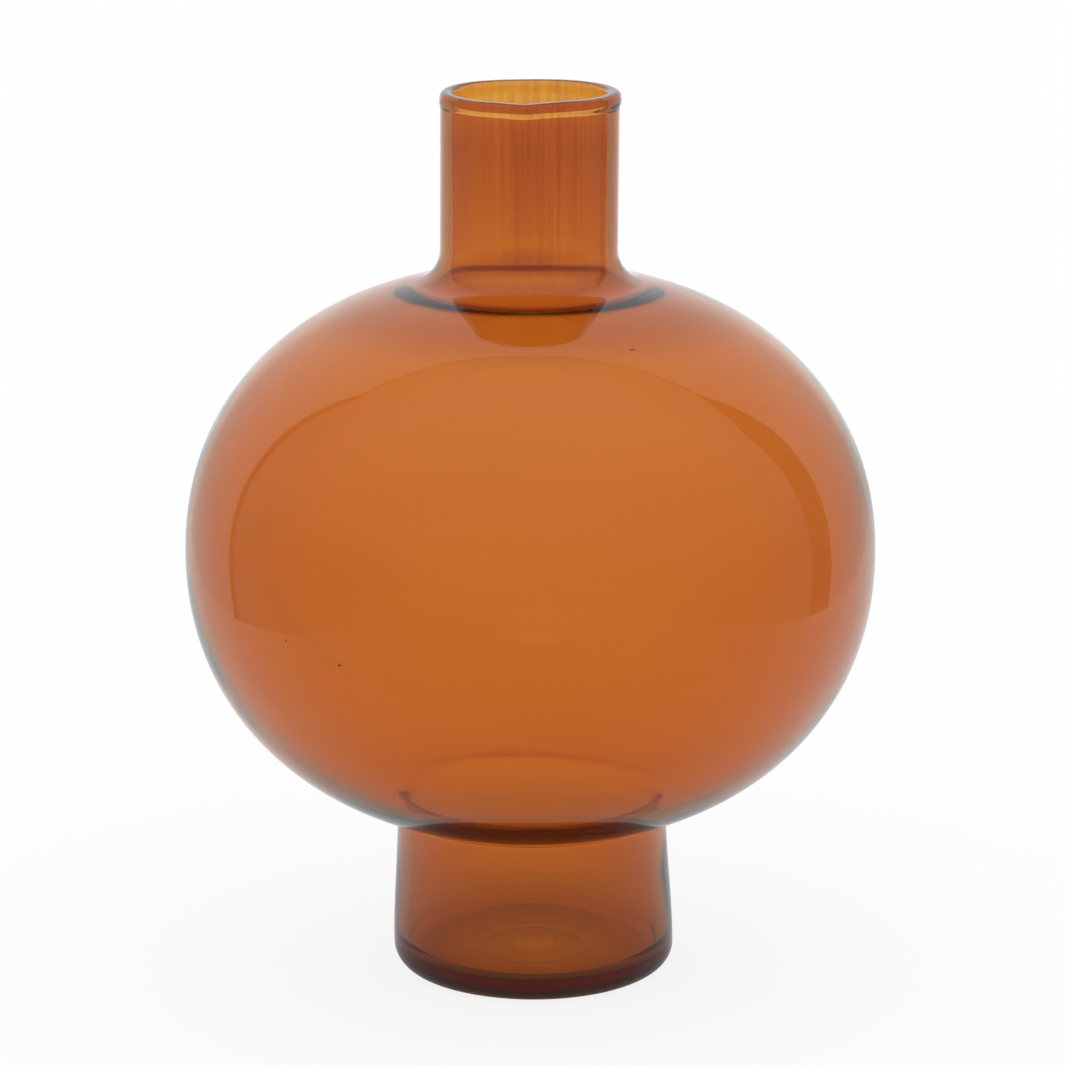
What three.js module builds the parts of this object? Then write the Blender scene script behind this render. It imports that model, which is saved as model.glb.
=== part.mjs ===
import * as THREE from 'three';

// Blown amber glass vase: a wide globe between a straight neck and a low round foot.
// Millimetres, +Z up. The origin is the middle of the face that it stands on.
// It is five rings of glass, each a profile turned about Z: base, foot, globe, neck and lip.
// A profile point is (radius, height), and neighbours meet on flat rings, face to face.

// Base: the thick floor with its rounded outer corner
const baseHeight = 10;           // standing face up to the seam with the foot wall
const floorThickness = 4.6;      // glass under the inside floor
const baseCornerRadius = 5.4;    // outer corner, seen as a thick dark edge
const floorCornerRadius = 4.2;   // between the inside floor and the wall
const standingRingWidth = 4;     // the flat ring that touches the table
const pushUpDepth = 1.3;         // hollow under the middle of the base
const pontilRingRadius = 11.4;   // round mark that the punty iron leaves
const pontilRingWidth = 1.6;
const pontilRingHeight = 0.4;

// Foot: a slightly conical ring up to the sharp waist
const waistRadius = 30.55;
const footFlare = 1.35;          // how much wider the wall is where it meets the base corner
const footHeight = 37.1;         // standing face up to the waist
const footWall = 4.4;

// Globe: an oval that is a little squarer than an ellipse
const globeRadius = 77.5;
const globeDepthBelow = 64.1;    // from its widest level to where it would close below
const globeDepthAbove = 63.4;    // and above
const globeWidthPower = 2.28;    // 2 would be a true ellipse
const globeDepthPower = 2.12;
const globeWall = 1.7;           // at the shoulder, and evenly thicker from there to the waist
const waistWall = 3;

// Neck and lip
const neckRadius = 19.75;
const neckWall = 2.8;
const neckLength = 32;           // straight tube between its two seams
const shoulderRadius = 7.7;      // hollow round between globe and neck, on the outside
const lipHeight = 3.3;
const lipOverhang = 0.45;        // fire-polished bead, proud of the neck
const lipBeadRadius = 1.6;
const lipInnerRadius = 1.4;

// Facets
const facetsRound = 56;          // round the axis, on every ring so that the seams match
const globeSteps = 9;            // from the widest level to each end
const footSteps = 5;
const arcSteps = 5;

const amber = { color: 0xb5662a, roughness: 0.06, metalness: 0 };

// Points on an arc about a centre, from one angle to another, both ends included.
function arc(centre, radius, from, to, steps = arcSteps) {
  return Array.from({ length: steps + 1 }, (_, i) => {
    const angle = THREE.MathUtils.lerp(from, to, i / steps);
    return new THREE.Vector2(
      centre.x + radius * Math.cos(angle),
      centre.y + radius * Math.sin(angle),
    );
  });
}

// Where a rising function crosses zero between low and high.
function crossing(rise, low, high) {
  for (let i = 0; i < 60; i++) {
    const middle = (low + high) / 2;
    if (rise(middle) < 0) low = middle;
    else high = middle;
  }
  return (low + high) / 2;
}

// The globe's outline is (r / radius)^widthPower + (h / depth)^depthPower = 1, where h is the
// height over its widest level. Its angle runs from -90 degrees at the bottom to 90 at the top.
function globePoint(angle) {
  const depth = angle < 0 ? globeDepthBelow : globeDepthAbove;
  const radius = globeRadius * Math.cos(angle) ** (2 / globeWidthPower);
  const height = depth * Math.abs(Math.sin(angle)) ** (2 / globeDepthPower);
  return new THREE.Vector2(radius, Math.sign(angle) * height);
}

function globeNormal(angle) {
  const depth = angle < 0 ? globeDepthBelow : globeDepthAbove;
  const point = globePoint(angle);
  const across = globeWidthPower * (point.x / globeRadius) ** (globeWidthPower - 1) / globeRadius;
  const up = globeDepthPower * (Math.abs(point.y) / depth) ** (globeDepthPower - 1) / depth;
  return new THREE.Vector2(across, Math.sign(point.y) * up).normalize();
}

// The waist is where the globe narrows to the waist's radius, and the shoulder starts where a
// round of its radius touches both the globe and the neck.
const waistAngle = crossing((a) => globePoint(a).x - waistRadius, -Math.PI / 2, 0);
const shoulderAngle = crossing(
  (a) => neckRadius + shoulderRadius - globePoint(a).x - shoulderRadius * globeNormal(a).x,
  0,
  Math.PI / 2,
);
const globeCentreHeight = footHeight - globePoint(waistAngle).y;
const lift = new THREE.Vector2(0, globeCentreHeight);
const shoulderCentre = globePoint(shoulderAngle)
  .addScaledVector(globeNormal(shoulderAngle), shoulderRadius)
  .add(lift);
const neckHeight = shoulderCentre.y;
const lipSeamHeight = neckHeight + neckLength;
const vaseHeight = lipSeamHeight + lipHeight;
const boreRadius = neckRadius - neckWall;
const footRadius = waistRadius + footFlare;

// Outer radius of the foot: full at the base corner, easing in to the waist with an S curve.
function footOuterRadius(height) {
  const way = (height - baseCornerRadius) / (footHeight - baseCornerRadius);
  const ease = (1 - way) ** 2 * (1 + 2 * way);
  return waistRadius + (footRadius - waistRadius) * ease;
}

// One piece of glass: its profile turned about Z, closed on itself.
function turnedGlass(name, profile) {
  const geometry = new THREE.LatheGeometry(profile, facetsRound);
  geometry.rotateX(Math.PI / 2);
  const piece = new THREE.Mesh(geometry, new THREE.MeshStandardMaterial(amber));
  piece.name = name;
  return piece;
}

function base() {
  const seamRadius = footOuterRadius(baseHeight);
  const innerRadius = seamRadius - footWall;
  const ringOuter = footRadius - baseCornerRadius;
  const ringInner = ringOuter - standingRingWidth;
  const pushUp = (radius) => pushUpDepth * (1 - (radius / ringInner) ** 2);
  const markOuter = pontilRingRadius + pontilRingWidth / 2;
  const markInner = pontilRingRadius - pontilRingWidth / 2;
  const under = [
    [0, pushUp(0)],
    [markInner, pushUp(markInner)],
    [pontilRingRadius, pushUp(pontilRingRadius) - pontilRingHeight],
    [markOuter, pushUp(markOuter)],
    [(markOuter + ringInner) / 2, pushUp((markOuter + ringInner) / 2)],
    [ringInner, 0],
  ].map(([radius, height]) => new THREE.Vector2(radius, height));
  const corner = new THREE.Vector2(ringOuter, baseCornerRadius);
  const floorCorner = new THREE.Vector2(
    innerRadius - floorCornerRadius,
    floorThickness + floorCornerRadius,
  );
  return turnedGlass('base', [
    ...under,
    ...arc(corner, baseCornerRadius, -Math.PI / 2, 0),
    new THREE.Vector2(seamRadius, baseHeight),
    new THREE.Vector2(innerRadius, baseHeight),
    ...arc(floorCorner, floorCornerRadius, 0, -Math.PI / 2),
    new THREE.Vector2(0, floorThickness),
  ]);
}

function foot() {
  const outer = Array.from({ length: footSteps + 1 }, (_, i) => {
    const height = THREE.MathUtils.lerp(baseHeight, footHeight, i / footSteps);
    return new THREE.Vector2(footOuterRadius(height), height);
  });
  const inner = outer.map((point) => new THREE.Vector2(point.x - footWall, point.y)).reverse();
  return turnedGlass('foot', [...outer, ...inner, outer[0].clone()]);
}

// Angles from the waist over the widest level up to the shoulder.
const halfway = Array.from({ length: globeSteps }, (_, i) => 1 - i / globeSteps);
const globeAngles = [
  ...halfway.map((way) => way * waistAngle),
  0,
  ...halfway.map((way) => way * shoulderAngle).reverse(),
];

// The globe's inside follows its outline at the wall's thickness.
function globeInside(angle) {
  const way = (angle - waistAngle) / (shoulderAngle - waistAngle);
  const wall = THREE.MathUtils.lerp(waistWall, globeWall, way);
  return globePoint(angle).addScaledVector(globeNormal(angle), -wall).add(lift);
}

// Inside the waist the wall turns about the crease, from the globe's thickness to the foot's.
function waistRidge() {
  const start = globeNormal(waistAngle).negate().angle();
  return Array.from({ length: arcSteps + 1 }, (_, i) => {
    const angle = THREE.MathUtils.lerp(start, Math.PI, i / arcSteps);
    const wall = THREE.MathUtils.lerp(waistWall, footWall, i / arcSteps);
    return new THREE.Vector2(
      waistRadius + wall * Math.cos(angle),
      footHeight + wall * Math.sin(angle),
    );
  });
}

// Under the neck the inside flares out beside the shoulder, at the neck wall's thickness.
function globe() {
  const outer = globeAngles.map((angle) => globePoint(angle).add(lift));
  const shoulderStart = globeNormal(shoulderAngle).negate().angle();
  const shoulder = arc(shoulderCentre, shoulderRadius, shoulderStart, Math.PI);
  const flare = arc(shoulderCentre, shoulderRadius + neckWall, Math.PI, shoulderStart);
  return turnedGlass('globe', [
    ...outer,
    ...shoulder.slice(1),
    ...flare,
    ...globeAngles.slice(1, -1).map(globeInside).reverse(),
    ...waistRidge(),
    outer[0].clone(),
  ]);
}

function neck() {
  return turnedGlass('neck', [
    new THREE.Vector2(neckRadius, neckHeight),
    new THREE.Vector2(neckRadius, lipSeamHeight),
    new THREE.Vector2(boreRadius, lipSeamHeight),
    new THREE.Vector2(boreRadius, neckHeight),
    new THREE.Vector2(neckRadius, neckHeight),
  ]);
}

function lip() {
  const bead = new THREE.Vector2(
    neckRadius + lipOverhang - lipBeadRadius,
    vaseHeight - lipBeadRadius,
  );
  const innerRound = new THREE.Vector2(boreRadius + lipInnerRadius, vaseHeight - lipInnerRadius);
  const undercut = Math.acos((neckRadius - bead.x) / lipBeadRadius);
  return turnedGlass('lip', [
    new THREE.Vector2(neckRadius, lipSeamHeight),
    ...arc(bead, lipBeadRadius, -undercut, Math.PI / 2),
    ...arc(innerRound, lipInnerRadius, Math.PI / 2, Math.PI),
    new THREE.Vector2(boreRadius, lipSeamHeight),
    new THREE.Vector2(neckRadius, lipSeamHeight),
  ]);
}

const vase = new THREE.Group();
vase.add(base(), foot(), globe(), neck(), lip());

export default vase;
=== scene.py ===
import math

import bpy
import numpy as np
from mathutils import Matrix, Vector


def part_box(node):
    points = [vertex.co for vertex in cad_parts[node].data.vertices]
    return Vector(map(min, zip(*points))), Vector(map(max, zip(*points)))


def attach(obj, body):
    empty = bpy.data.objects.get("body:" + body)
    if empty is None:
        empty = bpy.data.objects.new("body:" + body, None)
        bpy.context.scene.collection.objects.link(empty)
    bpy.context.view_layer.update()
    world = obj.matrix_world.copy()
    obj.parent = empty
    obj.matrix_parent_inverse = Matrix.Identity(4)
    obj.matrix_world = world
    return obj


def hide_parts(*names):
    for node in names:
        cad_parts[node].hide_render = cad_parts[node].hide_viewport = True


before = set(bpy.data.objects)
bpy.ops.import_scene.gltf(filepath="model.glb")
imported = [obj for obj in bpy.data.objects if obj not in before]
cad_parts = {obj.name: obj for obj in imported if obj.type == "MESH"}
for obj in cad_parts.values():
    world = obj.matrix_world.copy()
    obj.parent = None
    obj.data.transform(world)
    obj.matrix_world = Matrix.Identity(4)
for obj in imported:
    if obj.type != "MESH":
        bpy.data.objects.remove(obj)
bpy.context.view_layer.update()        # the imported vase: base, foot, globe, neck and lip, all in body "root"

mm = 0.001


def linear(hexColour):
    # sRGB hex to the linear values that the sockets take
    parts = [int(hexColour[i:i + 2], 16) / 255 for i in (0, 2, 4)]
    return [p / 12.92 if p <= 0.04045 else ((p + 0.055) / 1.055) ** 2.4 for p in parts] + [1.0]


def patternScale(size):
    # the Scale that makes a noise's features this many mm across
    return 1 / (size * mm)


def addNode(tree, kind, settings=None, links=None):
    # settings: an attribute or the default of an input, links: input to the socket that feeds it
    node = tree.nodes.new(kind)
    for key, value in (settings or {}).items():
        if isinstance(key, str) and hasattr(node, key):
            setattr(node, key, value)
        else:
            node.inputs[key].default_value = value
    for key, socket in (links or {}).items():
        tree.links.new(socket, node.inputs[key])
    return node


def largest(tree, sockets):
    # the largest of several values, compared two at a time
    found = sockets[0]
    for socket in sockets[1:]:
        found = addNode(tree, "ShaderNodeMath", {"operation": "MAXIMUM"},
                        {0: found, 1: socket}).outputs[0]
    return found


# Camera: about a metre off, above the rim and looking down on the vase
photo = {
    "distance": 1.0,            # from the vase's axis, level
    "height": 0.3445,
    "lookDown": 13.68,          # degrees
    "sideStep": 0.45 * mm,
    "focalPixels": 4579,        # the fitted focal length, in pixels of the frame
    "framePixels": 1065,
    "sensor": 36.0,
    "farthest": 50.0,
}


def makeCamera():
    data = bpy.data.cameras.new("camera")
    data.sensor_width = photo["sensor"]
    data.lens = photo["focalPixels"] / photo["framePixels"] * photo["sensor"]
    data.clip_end = photo["farthest"]
    camera = bpy.data.objects.new("camera", data)
    camera.location = (photo["sideStep"], -photo["distance"], photo["height"])
    camera.rotation_euler = (math.radians(90 - photo["lookDown"]), 0, 0)
    bpy.context.scene.collection.objects.link(camera)
    bpy.context.scene.camera = camera


makeCamera()
print("camera placed")


# The vase is one skin of glass, outside and inside, so that light bends at real surfaces only.
# Radii and heights that the solids hold are read from them, and the rest is here, in mm.
glassShape = {
    "clearance": 0.1,           # room for the waves inside the solids' size, at globe and rim
    "baseCorner": 5.4,          # outer round of the foot's bottom edge
    "standingRing": 4.0,
    "pushUp": 2.0,              # hollow under the base, and how its dome is curved
    "pushUpPower": 1.3,
    "markRadius": 11.4,         # ring that the punty iron leaves under the base
    "markWidth": 1.1,
    "markHeight": 0.35,
    "floorThickness": 4.5,
    "floorCorner": 4.2,         # inside round between floor and wall
    "footWall": 3.3,            # glass thickness over the base, and from a little under the waist
    "footWallHigh": 2.7,
    "footWallReach": 4.0,
    "waistRadius": 30.55,
    "creaseCut": 0.7,           # the tooled crease is rounded over this length on either side
    "ridgeCut": 3.5,            # and the ridge inside it, which is softer
    "depthBelow": 64.1,         # globe: from its widest level to where it would close
    "depthAbove": 63.4,
    "widthPower": 2.28,
    "depthPower": 2.12,
    "lowAngles": (-1.45, -0.2),     # the waist and the shoulder lie between these angles
    "highAngles": (0.2, 1.5),
    "wallWaist": 2.1,           # glass thickness on the way up, at the waist
    "wallMiddle": 2.35,
    "wallHigh": 1.7,            # just under the shoulder, where the bubble was blown thinnest
    "wallHighLength": 6.0,
    "wallShoulder": 2.2,
    "wallRim": 2.3,
    "wallRimFrom": 8.0,         # above the foot of the neck
    "waistExtra": 0.8,          # more glass gathers at the waist and fades over this length
    "waistReach": 35.0,
    "shoulderRound": 7.7,
    "flareCut": 7.0,            # the inside bends from the bore to the globe over this length
    "flareGap": 1.0,            # the globe's own inside starts this far under the shoulder
    "lipHalf": 1.6,             # half the height over which the lip swells, out and in
    "lipOut": 0.3,
    "lipIn": 0.6,
    "lipTop": 1.2,              # rounds on top, from this many degrees over level
    "lipTip": 15.0,
    "notchOut": 0.3,            # the notches under the lip are rounded over these lengths
    "notchIn": 0.4,
    "notchGap": 0.05,
    "least": 0.02,              # profile points closer than this are dropped
    "anglesRound": 216,
    "searchSteps": 4000,
    # points along each stretch of the outline
    "domePoints": 36,
    "ringPoints": 4,
    "cornerPoints": 16,
    "footPoints": 26,
    "globePoints": 90,
    "neckPoints": 26,
    "flarePoints": 22,
    "lipPoints": 12,
    "floorCornerPoints": 14,
    "floorPoints": 22,
    "creasePoints": 5,
    "ridgePoints": 9,
    "notchPoints": 3,
}


def arc(centre, radius, fromDegrees, toDegrees, count):
    # points on a circle about (radius, height) centre, both ends included
    angle = np.radians(np.linspace(fromDegrees, toDegrees, count))
    return np.stack([centre[0] + radius * np.cos(angle), centre[1] + radius * np.sin(angle)], 1)


def stretch(start, end, count):
    # straight run between two profile points, both ends included
    share = np.linspace(0, 1, count)[:, None]
    return (1 - share) * np.array(start) + share * np.array(end)


def ease(value, start, end):
    # 0 before start, 1 after end, and an S curve between them
    share = np.clip((value - start) / (end - start), 0, 1)
    return share * share * (3 - 2 * share)


def crossing(values, angles, target):
    # angle at which a run of values passes the target
    order = np.argsort(values)
    return float(np.interp(target, values[order], angles[order]))


def roundedJoin(first, second, corner, cut, count):
    # two runs that meet in a corner: both stop short of it and a bent run joins their ends
    first = first[np.hypot(*(first - corner).T) > cut]
    second = second[np.hypot(*(second - corner).T) > cut]
    share = np.linspace(0, 1, count + 2)[1:-1, None]
    bend = (1 - share) ** 2 * first[-1] + share ** 2 * second[0]
    bend = bend + 2 * share * (1 - share) * np.array(corner)
    return first, bend, second


def globeOutline(angle, radius):
    # (r / radius)^widthPower + (h / depth)^depthPower = 1, with its outward unit normal
    s = glassShape
    depth = np.where(angle < 0, s["depthBelow"], s["depthAbove"])
    r = radius * np.cos(angle) ** (2 / s["widthPower"])
    h = depth * np.abs(np.sin(angle)) ** (2 / s["depthPower"])
    across = s["widthPower"] * (r / radius) ** (s["widthPower"] - 1) / radius
    up = s["depthPower"] * (h / depth) ** (s["depthPower"] - 1) / depth
    length = np.hypot(across, up)
    side = np.sign(angle)
    return np.stack([r, side * h], 1), np.stack([across / length, side * up / length], 1)


def footOutline(h, footRadius, waistHeight):
    # radius of the foot's outside: full at the base corner, easing in to the waist
    s = glassShape
    way = np.clip((h - s["baseCorner"]) / (waistHeight - s["baseCorner"]), 0, 1)
    return s["waistRadius"] + (footRadius - s["waistRadius"]) * (1 - way) ** 2 * (1 + 2 * way)


def underside(footRadius):
    # a dome, height (1 - (r / ring)^2)^power, with the punty mark as a low ring under it, then the
    # flat standing ring and the rounded corner
    s = glassShape
    ringOuter = footRadius - s["baseCorner"]
    ringInner = ringOuter - s["standingRing"]
    r = np.linspace(0, ringInner, s["domePoints"])
    dome = s["pushUp"] * (1 - (r / ringInner) ** 2) ** s["pushUpPower"]
    mark = s["markHeight"] * np.exp(-(((r - s["markRadius"]) / s["markWidth"]) ** 2))
    ring = stretch((ringInner, 0), (ringOuter, 0), s["ringPoints"])
    corner = arc((ringOuter, s["baseCorner"]), s["baseCorner"], -90, 0, s["cornerPoints"])
    return np.concatenate([np.stack([r, dome - mark], 1), ring, corner])


def bodyOutside(waistHeight, globeRadius, neckRadius, topHeight):
    # globe, shoulder and neck as one run from the waist up, with its outward unit normals and the
    # places in it of the globe's last point and of the neck's first
    s = glassShape
    lowAngles = np.linspace(*s["lowAngles"], s["searchSteps"])
    lowPoints, _ = globeOutline(lowAngles, globeRadius)
    waistAngle = crossing(lowPoints[:, 0], lowAngles, s["waistRadius"])
    highAngles = np.linspace(*s["highAngles"], s["searchSteps"])
    highPoints, highNormals = globeOutline(highAngles, globeRadius)
    reach = highPoints[:, 0] + s["shoulderRound"] * highNormals[:, 0]
    shoulderAngle = crossing(reach, highAngles, neckRadius + s["shoulderRound"])

    angle = np.linspace(waistAngle, shoulderAngle, s["globePoints"])
    globe, globeNormals = globeOutline(angle, globeRadius)
    globe = globe + [0, waistHeight - globe[0, 1]]
    centre = globe[-1] + s["shoulderRound"] * globeNormals[-1]
    low = math.degrees(math.atan2(-globeNormals[-1, 1], -globeNormals[-1, 0])) % 360
    shoulder = arc(centre, s["shoulderRound"], low, 180, s["cornerPoints"])[1:]
    neck = stretch((neckRadius, centre[1]), (neckRadius, topHeight), s["neckPoints"])[1:]
    shoulderNormals = (centre - shoulder) / s["shoulderRound"]
    neckNormals = np.tile([1.0, 0], (len(neck), 1))
    return (np.concatenate([globe, shoulder, neck]),
            np.concatenate([globeNormals, shoulderNormals, neckNormals]),
            len(globe) - 1, len(globe) + len(shoulder) - 1)


def bodyInside(outer, normals, globeLast, neckFirst, upTo):
    # the same run moved in by the wall's thickness, which changes with the length along it, from
    # the lip down, with a wide bend from the bore into the globe
    s = glassShape
    run = np.cumsum(np.hypot(*np.diff(outer, axis=0, prepend=outer[:1]).T))
    globeEnd = run[globeLast]
    thin = globeEnd - s["wallHighLength"]
    wall = s["wallWaist"] + s["waistExtra"] * np.exp(-run / s["waistReach"])
    wall = wall + (s["wallMiddle"] - s["wallWaist"]) * ease(run, 0, globeEnd / 2)
    wall = wall + (s["wallHigh"] - s["wallMiddle"]) * ease(run, globeEnd / 2, thin)
    wall = wall + (s["wallShoulder"] - s["wallHigh"]) * ease(run, thin, globeEnd)
    rimFrom = run[neckFirst] + s["wallRimFrom"]
    wall = wall + (s["wallRim"] - s["wallShoulder"]) * ease(run, rimFrom, run[-1])
    inner = outer - normals * wall[:, None]
    inner = inner[inner[:, 1] < upTo][::-1]

    neckLow = outer[neckFirst, 1]
    bore = inner[inner[:, 1] > neckLow]
    shell = inner[inner[:, 1] < neckLow - s["shoulderRound"] - s["flareGap"]]

    # the bend's corner is where the globe's inside, carried on straight, meets the bore
    towardsBore = (shell[0] - shell[3]) / abs(shell[0, 0] - shell[3, 0])
    corner = shell[0] + towardsBore * (shell[0, 0] - bore[-1, 0])
    return np.concatenate(roundedJoin(bore, shell, corner, s["flareCut"], s["flarePoints"]))


def footInside(ridge, footRadius, waistHeight):
    # the foot's inside from the ridge down, and the round and floor that end it
    s = glassShape
    floorRound = s["floorCorner"]
    floorTop = s["floorThickness"]
    h = np.linspace(ridge[1], floorTop + floorRound, s["footPoints"])
    thinning = ease(h, floorTop, ridge[1] - s["footWallReach"])
    wall = s["footWall"] + (s["footWallHigh"] - s["footWall"]) * thinning
    side = np.stack([footOutline(h, footRadius, waistHeight) - wall, h], 1)
    cornerRadius = side[-1, 0] - floorRound
    corner = arc((cornerRadius, floorTop + floorRound), floorRound, 0, -90,
                 s["floorCornerPoints"])
    floor = stretch((cornerRadius, floorTop), (0, floorTop), s["floorPoints"])
    return side, np.concatenate([corner, floor])


def lipSwell(wallRadius, proud, topHeight, side):
    # one side of the lip from its notch up to the top: a flat arc that stands proud of the wall,
    # then the round; side is 1 outside and -1 inside
    s = glassShape
    flat = (s["lipHalf"] ** 2 + proud ** 2) / (2 * proud)
    low = math.degrees(math.asin(s["lipHalf"] / flat))
    tip = math.radians(s["lipTip"])
    middle = topHeight - s["lipTop"] - (flat - s["lipTop"]) * math.sin(tip)
    swell = arc((proud - flat, middle), flat, -low, s["lipTip"], s["lipPoints"])
    end = ((proud - flat) + (flat - s["lipTop"]) * math.cos(tip), topHeight - s["lipTop"])
    top = arc(end, s["lipTop"], s["lipTip"], 90, s["lipPoints"])[1:]
    return np.concatenate([swell, top]) * [side, 1] + [wallRadius, 0], middle - s["lipHalf"]


def vaseProfile():
    # The closed outline in mm, from the middle of the underside out, up, in at the lip and down
    # to the middle of the inside floor, with how far each point belongs to the inside, 0 to 1
    s = glassShape
    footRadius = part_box("base")[1].x / mm
    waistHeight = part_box("foot")[1].z / mm
    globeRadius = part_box("globe")[1].x / mm - s["clearance"]
    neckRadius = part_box("neck")[1].x / mm
    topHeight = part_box("lip")[1].z / mm - s["clearance"]
    boreAtLip = neckRadius - s["wallRim"]

    under = underside(footRadius)
    h = np.linspace(s["baseCorner"], waistHeight, s["footPoints"])
    footOut = np.stack([footOutline(h, footRadius, waistHeight), h], 1)
    outer, normals, globeLast, neckFirst = bodyOutside(
        waistHeight, globeRadius, neckRadius, topHeight)
    lipOut, notch = lipSwell(neckRadius, s["lipOut"], topHeight, 1)
    lipIn, notchIn = lipSwell(boreAtLip, s["lipIn"], topHeight, -1)
    outside = outer[outer[:, 1] < notch - s["notchGap"]]
    inner = bodyInside(outer, normals, globeLast, neckFirst, notchIn - s["notchGap"])

    # the ridge is where the globe's inside, carried on, meets the foot's
    slope = (inner[-1] - inner[-2]) / (inner[-1, 0] - inner[-2, 0])
    ridge = inner[-1] + slope * (s["waistRadius"] - s["footWallHigh"] - inner[-1, 0])
    footIn, floor = footInside(ridge, footRadius, waistHeight)

    footOut, crease, outside = roundedJoin(
        footOut, outside, (s["waistRadius"], waistHeight), s["creaseCut"], s["creasePoints"])
    inner, ridgeBend, footIn = roundedJoin(
        inner, footIn, ridge, s["ridgeCut"], s["ridgePoints"])
    outside, turnOut, lipOut = roundedJoin(
        outside, lipOut, (neckRadius, notch), s["notchOut"], s["notchPoints"])
    lipIn, turnIn, inner = roundedJoin(
        lipIn[::-1], inner, (boreAtLip, notchIn), s["notchIn"], s["notchPoints"])
    outsideRuns = [under, footOut, crease, outside, turnOut]
    insideRuns = [turnIn, inner, ridgeBend, footIn, floor]
    points = np.concatenate(outsideRuns + [lipOut, lipIn] + insideRuns)
    lipStart = sum(len(part) for part in outsideRuns)
    inside = ease(np.arange(len(points)), lipStart, lipStart + len(lipOut) + len(lipIn))
    keep = np.hypot(*np.diff(points, axis=0, prepend=[[-1, 0]]).T) > s["least"]
    return np.column_stack([points, inside])[keep]


# What the hand and the heat leave: nothing below is quite round, straight or even. In mm.
handMade = {
    "lean": [(0, 0.75), (37, 0.25), (97, 0.0), (165, -0.35), (201, -0.1)],   # height, shift
    "steady": (2, 26),          # near the axis nothing is out of round, and past this all of it is
    # waves: size, turns round, height of one wave, start, for the outside and for the inside
    "outsideWaves": [(0.030, 2, 95, 0.4), (0.022, 5, 61, 2.1), (0.012, 9, 43, 4.0)],
    "insideWaves": [(0.070, 2, 120, 1.9), (0.045, 3, -52, 5.1), (0.025, 7, 37, 0.6)],
    "boreCalm": 0.8,            # share of the inside's waves that is missing from here up
    "boreCalmFrom": (138, 152),
    # the wall thins under the waist: direction in degrees, half width, how much, and the heights
    # over which that sets in and ends
    "waistThins": [(2, 30, 0.40), (178, 24, 0.12)],
    "waistThinsFrom": (20, 35),
    "waistThinsTo": (44, 60),
    # draw lines in the bore: size, turns round, start
    "boreLines": [(0.008, 11, 0.3), (0.004, 17, 2.2)],
    "boreLinesFrom": (165, 180),
    "boreLinesSway": (0.35, 19),        # radians to either side, and the height of one radian
    # the lip: direction in degrees (-90 is the front), its half width, rise and spread
    "lipMarks": [(-94, 13, -0.38, 0.06), (-128, 26, -0.26, -0.08), (-40, 20, -0.10, 0.05),
                 (2, 16, 0.0, 0.14), (95, 30, -0.22, 0.0), (178, 24, -0.12, -0.12)],
    "lipRises": (-9, 0),        # heights under the top over which they set in
    "lipSpreads": (-5, -1),
}


def nearDirection(angle, towards, halfWidth):
    # 1 in one direction, and e^-(angle / halfWidth)^2 at an angle from it, in degrees
    apart = np.degrees(np.angle(np.exp(1j * (angle - math.radians(towards)))))
    return np.exp(-((apart / halfWidth) ** 2))


def waves(parts, angle, z):
    # sum of sines that run round and up: size sin(turns angle + 2 pi z / length + start)
    total = 0
    for size, turns, length, start in parts:
        total = total + size * np.sin(turns * angle + 2 * math.pi * z / length + start)
    return total


def handShape(profile, angle):
    # the profile turned about the axis: its radius plus waves, draw lines, thin places and the
    # lip's spread, its height plus the lip's rise, and x plus the lean; rows follow the profile
    h = handMade
    r, z, inside = [column[:, None] for column in profile.T]
    top = profile[:, 1].max()
    calm = 1 - h["boreCalm"] * ease(z, *h["boreCalmFrom"])
    spread = ease(r, *h["steady"]) * ((1 - inside) * waves(h["outsideWaves"], angle, z)
                                      + inside * calm * waves(h["insideWaves"], angle, z))
    sway, swayHeight = h["boreLinesSway"]
    for size, turns, start in h["boreLines"]:
        line = size * np.sin(turns * angle + sway * np.sin(z / swayHeight) + start)
        spread = spread + inside * ease(z, *h["boreLinesFrom"]) * line
    thins = inside * ease(z, *h["waistThinsFrom"]) * (1 - ease(z, *h["waistThinsTo"]))
    for towards, halfWidth, size in h["waistThins"]:
        spread = spread + size * nearDirection(angle, towards, halfWidth) * thins
    rise = 0
    for towards, halfWidth, up, out in h["lipMarks"]:
        near = nearDirection(angle, towards, halfWidth)
        rise = rise + up * near * ease(z - top, *h["lipRises"])
        spread = spread + out * near * ease(z - top, *h["lipSpreads"]) * (1 - 2 * inside)
    shift = np.interp(z, *zip(*h["lean"]))
    return (r + spread) * np.cos(angle) + shift, (r + spread) * np.sin(angle), z + rise


# Seeds: specks of air that were caught in the melt. Direction, height, size and length in mm.
seeds = {
    "specks": [(-122, 88.0, 0.28, 0.5), (-93, 46.5, 0.22, 0.3), (-61, 150.5, 0.25, 0.7),
               (-35, 70.0, 0.16, 0.25), (40, 120.0, 0.25, 0.45), (150, 66.0, 0.3, 0.4)],
    "walls": (40, 190),         # heights between which the wall is a run that can be followed
    "around": 12,
    "rows": 7,
}


def closedFaces(rows, count, outward):
    # quads between rings of points, and a fan to a single point at either end
    ids = np.arange(rows * count).reshape(rows, count)
    nextIds = np.roll(ids, -1, axis=1)
    quads = np.stack([ids[:-1], nextIds[:-1], nextIds[1:], ids[1:]], 2).reshape(-1, 4)
    first = np.full(count, rows * count)
    fans = np.concatenate([np.stack([first, nextIds[0], ids[0]], 1),
                           np.stack([first + 1, ids[-1], nextIds[-1]], 1)])
    return (quads, fans) if outward else (quads[:, ::-1], fans[:, ::-1])


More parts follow.
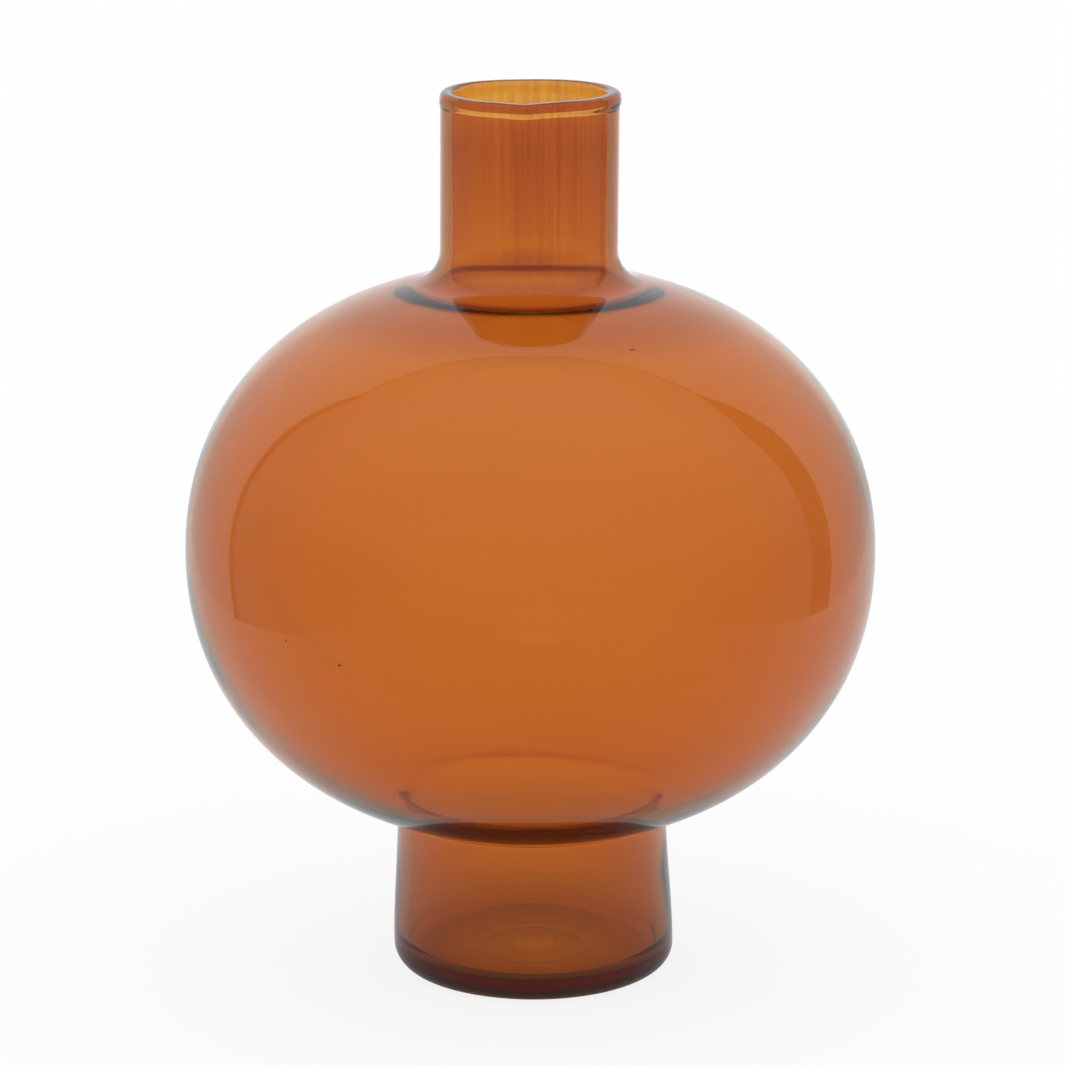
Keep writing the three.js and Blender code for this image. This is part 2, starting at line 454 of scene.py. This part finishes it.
def seedSkin(profile, towards, height, size, length):
    # an ellipsoid in the middle of the wall, size out and up and length along the wall, with its
    # faces turned to the air inside it
    low, high = seeds["walls"]
    middle = 0
    for side in (0, 1):
        part = profile[(profile[:, 2] == side) & (profile[:, 1] > low) & (profile[:, 1] < high)]
        part = part[np.argsort(part[:, 1])]
        middle = middle + np.interp(height, part[:, 1], part[:, 0]) / 2
    around = np.arange(seeds["around"]) * 2 * math.pi / seeds["around"]
    up = np.linspace(-math.pi / 2, math.pi / 2, seeds["rows"] + 2)[1:-1, None]
    out = size * np.cos(up) * np.cos(around)
    side = length * np.cos(up) * np.sin(around)
    rise = size * np.sin(up) + 0 * around
    heading = math.radians(towards)
    out = np.concatenate([out.ravel(), [0, 0]]) + middle
    side = np.concatenate([side.ravel(), [0, 0]])
    z = np.concatenate([rise.ravel(), [-size, size]]) + height
    x = out * math.cos(heading) - side * math.sin(heading)
    y = out * math.sin(heading) + side * math.cos(heading)
    return np.stack([x, y, z], 1), closedFaces(seeds["rows"], seeds["around"], outward=False)


def makeGlass(name):
    # each profile point goes round the axis; the two ends are single points on it
    profile = vaseProfile()
    count = glassShape["anglesRound"]
    x, y, z = handShape(profile[1:-1], np.arange(count) * 2 * math.pi / count)
    shifts = np.interp(profile[[0, -1], 1], *zip(*handMade["lean"]))
    ends = [[shifts[0], 0, profile[0, 1]], [shifts[1], 0, profile[-1, 1]]]
    wall = np.concatenate([np.stack([x, y, z], 2).reshape(-1, 3), ends])
    skins = [(wall, closedFaces(len(profile) - 2, count, outward=True))]
    skins += [seedSkin(profile, *speck) for speck in seeds["specks"]]
    points, faces = np.empty((0, 3)), []
    for skinPoints, (quads, fans) in skins:
        faces += (quads + len(points)).tolist() + (fans + len(points)).tolist()
        points = np.concatenate([points, skinPoints])
    mesh = bpy.data.meshes.new(name)
    mesh.from_pydata((points * mm).tolist(), [], faces)
    mesh.shade_smooth()
    mesh.update()
    piece = bpy.data.objects.new(name, mesh)
    bpy.context.scene.collection.objects.link(piece)
    return piece


# Soda-lime glass, coloured amber in the melt and fire polished: yellow where it is thin, deep
# orange-brown where it is thick, with a hard clear gloss. Sizes and heights are in mm.
amberGlass = {
    "ior": 1.52,
    # what the two faces of a wall let through, by height, before its thickness counts: the foot is
    # from a second gather, a little smokier, the shoulder is where glass gathered, and the neck
    # was worked hottest
    "tints": [(0, "DDBD71"), (8, "DDBD71"), (14, "ECC675"), (27, "ECC675"), (36, "FBD07C"),
              (148, "FBD07C"), (153, "E0AB61"), (160, "E0AB61"),
              (163, "F9CE77"), (190, "ECBA65"), (197, "F7CA75")],
    "keeps": "EAC800",          # inside, absorption per metre is the density times 1 minus this
    "density": 500.0,
    "lineTint": "E7CBE5",       # draw lines in the neck: the tint times this, and how wide and long
    "lineWidth": 1.25,
    "lineLength": 111.0,
    "lineFrom": (150, 180),
    "lineShades": (0.38, 0.62),     # noise values between which a line comes up
    "streakMiddle": 2.0,        # most of them run down its front and back
    "streakWidth": 15.0,
    "streakElsewhere": 0.25,
    "cord": 0.035,              # slow bands of denser glass that the turning drew round the globe
    "cordWidth": 111.0,
    "cordHeight": 16.67,
    "cordShades": (0.3, 0.7),
    "smudgeRoughness": 0.035,   # faint finger smudges
    "smudgeSize": 26.3,
    "smudgeShades": (0.56, 0.8),
    "groundRoughness": 0.6,     # the underside, ground flat and scuffed
    "groundRadius": 29.5,
    "groundHeight": 1.9,
    "groundFrost": 0.45,        # share of the light that its scuffs send every way
    "frostColour": "F9F9F9",
    "frostHeight": 4.5,         # they fade out on the corner, by this height
    "scuffSize": 1.11,
    "scuffShades": (0.3, 0.7),
    "scuffSpread": 0.1,         # their roughness varies by this share
    "swellSize": 13.33,         # very slow, very low swells in the polished skin
    "swellHeight": 0.04,
}


def heightTint(tree, height):
    # the tint by height, from the list
    tints = amberGlass["tints"]
    tintTop = tints[-1][0]
    share = addNode(tree, "ShaderNodeMath", {"operation": "DIVIDE", 1: tintTop * mm}, {0: height})
    ramp = addNode(tree, "ShaderNodeValToRGB", {}, {"Fac": share.outputs[0]})
    stops = ramp.color_ramp.elements
    stops[0].color = linear(tints[0][1])
    stops[1].color = linear(tints[-1][1])
    for at, colour in tints[1:-1]:
        stops.new(at / tintTop).color = linear(colour)
    return ramp.outputs["Color"]


def drawLines(tree, place, parts):
    # how much of a draw line each point has: stretched noise, in the neck and mostly in its middle
    g = amberGlass
    across, along = patternScale(g["lineWidth"]), patternScale(g["lineLength"])
    pulled = addNode(tree, "ShaderNodeMapping", {"Scale": (across, across, along)},
                     {"Vector": place})
    lines = addNode(tree, "ShaderNodeTexNoise", {"Scale": 1.0, "Detail": 3.0, "Roughness": 0.6},
                    {"Vector": pulled.outputs["Vector"]})
    low, high = g["lineShades"]
    shade = addNode(tree, "ShaderNodeMapRange", {"From Min": low, "From Max": high},
                    {"Value": lines.outputs["Fac"]})
    low, high = g["lineFrom"]
    inNeck = addNode(tree, "ShaderNodeMapRange", {"From Min": low * mm, "From Max": high * mm},
                     {"Value": parts.outputs["Z"]})
    off = addNode(tree, "ShaderNodeMath", {"operation": "SUBTRACT", 1: g["streakMiddle"] * mm},
                  {0: parts.outputs["X"]})
    aside = addNode(tree, "ShaderNodeMath", {"operation": "ABSOLUTE"}, {0: off.outputs[0]})
    middle = addNode(tree, "ShaderNodeMapRange", {
        "interpolation_type": "SMOOTHSTEP", "From Min": 0.0, "From Max": g["streakWidth"] * mm,
        "To Min": 1.0, "To Max": g["streakElsewhere"]}, {"Value": aside.outputs[0]})
    most = addNode(tree, "ShaderNodeMath", {"operation": "MULTIPLY"},
                   {0: shade.outputs["Result"], 1: middle.outputs["Result"]})
    amount = addNode(tree, "ShaderNodeMath", {"operation": "MULTIPLY"},
                     {0: most.outputs[0], 1: inNeck.outputs["Result"]})
    return amount.outputs[0]


def cordStrength(tree, place):
    # the power that the tint is raised to: a little over one in a band, a little under beside it
    g = amberGlass
    across, along = patternScale(g["cordWidth"]), patternScale(g["cordHeight"])
    turned = addNode(tree, "ShaderNodeMapping", {"Scale": (across, across, along)},
                     {"Vector": place})
    cords = addNode(tree, "ShaderNodeTexNoise", {"Scale": 1.0, "Detail": 2.0, "Distortion": 0.7},
                    {"Vector": turned.outputs["Vector"]})
    low, high = g["cordShades"]
    shade = addNode(tree, "ShaderNodeMapRange", {
        "From Min": low, "From Max": high, "To Min": 1 - g["cord"], "To Max": 1 + g["cord"]},
        {"Value": cords.outputs["Fac"]})
    return shade.outputs["Result"]


def glassRoughness(tree, place, parts):
    # smudges on the polished skin, and the scuffed ground under the base
    g = amberGlass
    level = addNode(tree, "ShaderNodeCombineXYZ", {},
                    {0: parts.outputs["X"], 1: parts.outputs["Y"]})
    radius = addNode(tree, "ShaderNodeVectorMath", {"operation": "LENGTH"},
                     {0: level.outputs["Vector"]})
    near = addNode(tree, "ShaderNodeMath", {"operation": "LESS_THAN", 1: g["groundRadius"] * mm},
                   {0: radius.outputs["Value"]})
    under = addNode(tree, "ShaderNodeMath", {"operation": "LESS_THAN", 1: g["groundHeight"] * mm},
                    {0: parts.outputs["Z"]})
    ground = addNode(tree, "ShaderNodeMath", {"operation": "MULTIPLY"},
                     {0: near.outputs[0], 1: under.outputs[0]})
    smudge = addNode(tree, "ShaderNodeTexNoise", {
        "Scale": patternScale(g["smudgeSize"]), "Detail": 5.0, "Roughness": 0.7},
        {"Vector": place})
    low, high = g["smudgeShades"]
    smudged = addNode(tree, "ShaderNodeMapRange", {
        "From Min": low, "From Max": high, "To Max": g["smudgeRoughness"]},
        {"Value": smudge.outputs["Fac"]})
    scuffs = addNode(tree, "ShaderNodeTexNoise", {
        "Scale": patternScale(g["scuffSize"]), "Detail": 3.0}, {"Vector": place})
    low, high = g["scuffShades"]
    scuffed = addNode(tree, "ShaderNodeMapRange", {
        "From Min": low, "From Max": high,
        "To Min": g["groundRoughness"] * (1 - g["scuffSpread"]),
        "To Max": g["groundRoughness"] * (1 + g["scuffSpread"])}, {"Value": scuffs.outputs["Fac"]})
    roughness = addNode(tree, "ShaderNodeMix", {}, {
        0: ground.outputs[0], 2: smudged.outputs["Result"], 3: scuffed.outputs["Result"]})
    return roughness.outputs[0]


def makeAmberGlass():
    g = amberGlass
    material = bpy.data.materials.new("amberSodaLimeGlass")
    material.use_nodes = True
    tree = material.node_tree
    tree.nodes.clear()
    place = addNode(tree, "ShaderNodeTexCoord").outputs["Object"]
    parts = addNode(tree, "ShaderNodeSeparateXYZ", {}, {0: place})
    lined = addNode(tree, "ShaderNodeMix", {
        "data_type": "RGBA", "blend_type": "MULTIPLY", 7: linear(g["lineTint"])},
        {0: drawLines(tree, place, parts), 6: heightTint(tree, parts.outputs["Z"])})
    tint = addNode(tree, "ShaderNodeGamma", {},
                   {"Color": lined.outputs[2], "Gamma": cordStrength(tree, place)})
    swell = addNode(tree, "ShaderNodeTexNoise", {
        "Scale": patternScale(g["swellSize"]), "Detail": 1.0}, {"Vector": place})
    bump = addNode(tree, "ShaderNodeBump", {"Strength": 1.0, "Distance": g["swellHeight"] * mm},
                   {"Height": swell.outputs["Fac"]})
    polished = addNode(tree, "ShaderNodeBsdfPrincipled", {
        "IOR": g["ior"], "Transmission Weight": 1.0}, {
        "Base Color": tint.outputs["Color"],
        "Roughness": glassRoughness(tree, place, parts),
        "Normal": bump.outputs["Normal"]})

    # under the base the scuffs send part of the light every way
    frost = addNode(tree, "ShaderNodeBsdfTranslucent", {"Color": linear(g["frostColour"])})
    frosted = addNode(tree, "ShaderNodeMapRange", {
        "From Min": g["frostHeight"] * mm, "From Max": g["groundHeight"] / 2 * mm,
        "To Max": g["groundFrost"]}, {"Value": parts.outputs["Z"]})
    skin = addNode(tree, "ShaderNodeMixShader", {}, {
        0: frosted.outputs["Result"], 1: polished.outputs["BSDF"], 2: frost.outputs["BSDF"]})
    inside = addNode(tree, "ShaderNodeVolumeAbsorption", {
        "Color": linear(g["keeps"]), "Density": g["density"]})
    addNode(tree, "ShaderNodeOutputMaterial", {}, {
        "Surface": skin.outputs["Shader"], "Volume": inside.outputs["Volume"]})
    return material


vase = makeGlass("glass_vase")
vase.data.materials.append(makeAmberGlass())
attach(vase, "root")
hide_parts("base", "foot", "globe", "neck", "lip")
print("glass made:", len(vase.data.polygons), "faces")


# Floor: a white painted table top, faintly grained and overexposed. Reflections find its edges, and the tent's
# cloth beyond them; inside the edges they see the table as a glow with painted shade, dimmer in front than
# behind, and a painted shadow beside the foot. In metres, but the grain is in mm.
floorLook = {
    "halfSide": 4.0,
    "colour": "FBFBFB",
    "grainSize": 6.25,
    "grainHeight": 0.1,
    "glow": 0.84,               # share of plain white, seen directly
    "glowThrough": 0.90,        # and through the glass
    "leftEdge": -0.31,
    "rightEdge": 0.36,
    "frontEdge": -0.60,
    "backEdge": 0.80,
    "paintedFrontLevel": 0.42,         # painted shade: the glow that reflections get from the table in front of the vase, dimmer than behind
    "backLevel": 0.80,          # and behind it, brighter there as painted light
    "levelTurn": (-1.0, 0.4),   # how far round to the back the one becomes the other
    "paintedShadowLevel": 0.68,       # painted shadow: the table's glow is darker right beside the foot
    "paintedShadowNear": 0.030,
    "paintedShadowFar": 0.130,
    "gapUnder": 0.02 * mm,      # the foot stands just clear of it, so that the two do not fight
}


def overexposedPaint(tree, place, path):
    # white paint that still takes a faint shadow, mixed with plain white
    s = floorLook
    grain = addNode(tree, "ShaderNodeTexNoise", {
        "Scale": patternScale(s["grainSize"]), "Detail": 4.0}, {"Vector": place})
    bump = addNode(tree, "ShaderNodeBump", {"Strength": 0.2, "Distance": s["grainHeight"] * mm},
                   {"Height": grain.outputs["Fac"]})
    paint = addNode(tree, "ShaderNodeBsdfDiffuse", {"Color": linear(s["colour"])},
                    {"Normal": bump.outputs["Normal"]})
    glow = addNode(tree, "ShaderNodeEmission", {"Color": linear("FFFFFF"), "Strength": 1.0})
    share = addNode(tree, "ShaderNodeMapRange", {"To Min": s["glowThrough"], "To Max": s["glow"]},
                    {"Value": path.outputs["Is Camera Ray"]})
    return addNode(tree, "ShaderNodeMixShader", {}, {
        0: share.outputs["Result"], 1: paint.outputs["BSDF"], 2: glow.outputs["Emission"]})


def paintedMirroredTable(tree, place, parts):
    # what a mirrored path sees: the table as a glow with painted shade, dimmer in front than behind and with a
    # painted shadow beside the foot, or the tent beyond its edges
    s = floorLook
    edges = [("X", "GREATER_THAN", s["rightEdge"]), ("X", "LESS_THAN", s["leftEdge"]),
             ("Y", "GREATER_THAN", s["backEdge"]), ("Y", "LESS_THAN", s["frontEdge"])]
    beyond = largest(tree, [
        addNode(tree, "ShaderNodeMath", {"operation": operation, 1: edge},
                {0: parts.outputs[axis]}).outputs[0]
        for axis, operation, edge in edges])
    towards = addNode(tree, "ShaderNodeVectorMath", {"operation": "NORMALIZE"}, {0: place})
    depth = addNode(tree, "ShaderNodeSeparateXYZ", {}, {0: towards.outputs["Vector"]})
    front, back = s["levelTurn"]
    # painted shade: the table glows less in front of the vase than behind it
    paintedTableLevel = addNode(tree, "ShaderNodeMapRange", {
        "From Min": front, "From Max": back, "To Min": s["paintedFrontLevel"], "To Max": s["backLevel"]},
        {"Value": depth.outputs["Y"]})
    distance = addNode(tree, "ShaderNodeVectorMath", {"operation": "LENGTH"}, {0: place})
    # painted shadow: the glow dims close to the foot and reaches full strength farther out
    paintedShadow = addNode(tree, "ShaderNodeMapRange", {
        "From Min": s["paintedShadowNear"], "From Max": s["paintedShadowFar"],
        "To Min": s["paintedShadowLevel"], "To Max": 1.0}, {"Value": distance.outputs["Value"]})
    strength = addNode(tree, "ShaderNodeMath", {"operation": "MULTIPLY"},
                       {0: paintedTableLevel.outputs["Result"], 1: paintedShadow.outputs["Result"]})
    table = addNode(tree, "ShaderNodeEmission", {"Color": linear("FFFFFF")},
                    {"Strength": strength.outputs[0]})
    openAir = addNode(tree, "ShaderNodeBsdfTransparent")
    return addNode(tree, "ShaderNodeMixShader", {}, {
        0: beyond, 1: table.outputs["Emission"], 2: openAir.outputs["BSDF"]})


def makeFloor():
    half = floorLook["halfSide"]
    z = -floorLook["gapUnder"]
    corners = [(-half, -half, z), (half, -half, z), (half, half, z), (-half, half, z)]
    mesh = bpy.data.meshes.new("floor")
    mesh.from_pydata(corners, [], [(0, 1, 2, 3)])
    floor = bpy.data.objects.new("floor", mesh)
    bpy.context.scene.collection.objects.link(floor)
    material = bpy.data.materials.new("whiteTableTop")
    material.use_nodes = True
    tree = material.node_tree
    tree.nodes.clear()
    place = addNode(tree, "ShaderNodeTexCoord").outputs["Object"]
    parts = addNode(tree, "ShaderNodeSeparateXYZ", {}, {0: place})
    path = addNode(tree, "ShaderNodeLightPath")
    # paths that the glass has mirrored see the table's painted glow and shade instead of the lit paint
    mirrored = addNode(tree, "ShaderNodeMath", {"operation": "GREATER_THAN", 1: 0.5},
                       {0: path.outputs["Glossy Depth"]})
    whole = addNode(tree, "ShaderNodeMixShader", {}, {
        0: mirrored.outputs[0],
        1: overexposedPaint(tree, place, path).outputs["Shader"],
        2: paintedMirroredTable(tree, place, parts).outputs["Shader"]})
    addNode(tree, "ShaderNodeOutputMaterial", {}, {"Surface": whole.outputs["Shader"]})
    mesh.materials.append(material)


makeFloor()


# Studio: a white light tent behind and beside the vase, its open front darker than the cloth.
# Directions are unit vectors, and only paths that the glass has mirrored see the tent's parts.
studio = {
    "plainLevel": 1.0,          # what everything else sees
    "backLevel": 1.0,           # the lit backdrop straight behind
    "gapLevel": 0.26,           # between the tent's front edge and the front sheet
    # levels that change with the direction: axis, from, to, level at either end, kind of change
    "ramps": {
        "cloth": ("Z", 0.0, 0.35, 0.72, 0.86, "LINEAR"),        # side cloths, up from the table
        "clothSide": ("X", -0.2, 0.2, 0.0, -0.05, "LINEAR"),    # a little less on the right
        "backdrop": ("Y", 0.86, 0.97, 0.0, 1.0, "SMOOTHSTEP"),
        "sheet": ("Z", 0.0, 1.0, 0.47, 0.83, "LINEAR"),         # the dim front, up to overhead
        "sheetFade": ("Y", 0.0, 1.0, 0.0, -0.6, "LINEAR"),      # darker again past the zenith
        "overhead": ("Z", 0.35, 0.80, 0.0, 1.0, "SMOOTHSTEP"),  # where that fade counts
    },
    "sideEdge": 0.51,           # the tent's front edge: depth over width, and over height
    "topEdge": 0.385,
    "rightEdge": 0.277,         # the front sheet starts here on the right, after a dark gap
    "leftEdge": 0.45,
    "sheetTop": 0.375,
    "edgeSoftness": 0.004,
}


def edgeMask(tree, direction, planes):
    # 1 where the direction is on the front side of any of the planes, with a soft edge
    sides = [addNode(tree, "ShaderNodeVectorMath", {"operation": "DOT_PRODUCT", 1: plane},
                     {0: direction}).outputs["Value"] for plane in planes]
    softness = studio["edgeSoftness"]
    return addNode(tree, "ShaderNodeMapRange", {
        "interpolation_type": "SMOOTHSTEP", "From Min": -softness, "From Max": softness},
        {"Value": largest(tree, sides)}).outputs["Result"]


def makeStudio():
    s = studio
    world = bpy.data.worlds.new("lightTent")
    bpy.context.scene.world = world
    world.use_nodes = True
    tree = world.node_tree
    tree.nodes.clear()
    direction = addNode(tree, "ShaderNodeTexCoord").outputs["Generated"]
    parts = addNode(tree, "ShaderNodeSeparateXYZ", {}, {0: direction})
    inFront = edgeMask(tree, direction, [
        (s["sideEdge"], -1, 0), (-s["sideEdge"], -1, 0), (0, -1, s["topEdge"])])
    onSheet = edgeMask(tree, direction, [
        (s["rightEdge"], -1, 0), (-s["leftEdge"], -1, 0), (0, -1, s["sheetTop"])])
    level = {}
    for name, (axis, start, end, low, high, kind) in s["ramps"].items():
        level[name] = addNode(tree, "ShaderNodeMapRange", {
            "interpolation_type": kind, "From Min": start, "From Max": end,
            "To Min": low, "To Max": high}, {"Value": parts.outputs[axis]}).outputs["Result"]
    fade = addNode(tree, "ShaderNodeMath", {"operation": "MULTIPLY"},
                   {0: level["sheetFade"], 1: level["overhead"]})
    sheet = addNode(tree, "ShaderNodeMath", {"operation": "ADD"},
                    {0: level["sheet"], 1: fade.outputs[0]})
    sides = addNode(tree, "ShaderNodeMath", {"operation": "ADD"},
                    {0: level["cloth"], 1: level["clothSide"]})
    cloth = addNode(tree, "ShaderNodeMix", {3: s["backLevel"]},
                    {0: level["backdrop"], 2: sides.outputs[0]})
    front = addNode(tree, "ShaderNodeMix", {2: s["gapLevel"]}, {0: onSheet, 3: sheet.outputs[0]})
    tent = addNode(tree, "ShaderNodeMix", {}, {
        0: inFront, 2: cloth.outputs[0], 3: front.outputs[0]})
    path = addNode(tree, "ShaderNodeLightPath")
    mirrored = addNode(tree, "ShaderNodeMath", {"operation": "GREATER_THAN", 1: 0.5},
                       {0: path.outputs["Glossy Depth"]})
    strength = addNode(tree, "ShaderNodeMix", {2: s["plainLevel"]},
                       {0: mirrored.outputs[0], 3: tent.outputs[0]})
    light = addNode(tree, "ShaderNodeBackground", {"Color": linear("FFFFFF")},
                    {"Strength": strength.outputs[0]})
    addNode(tree, "ShaderNodeOutputWorld", {}, {"Surface": light.outputs["Background"]})


makeStudio()
print("floor and studio made")

# light passes four faces of glass, and is mirrored between them many times
scene = bpy.context.scene
scene.view_settings.view_transform = "Standard"
scene.cycles.max_bounces = 24
scene.cycles.transmission_bounces = 24
scene.cycles.glossy_bounces = 12
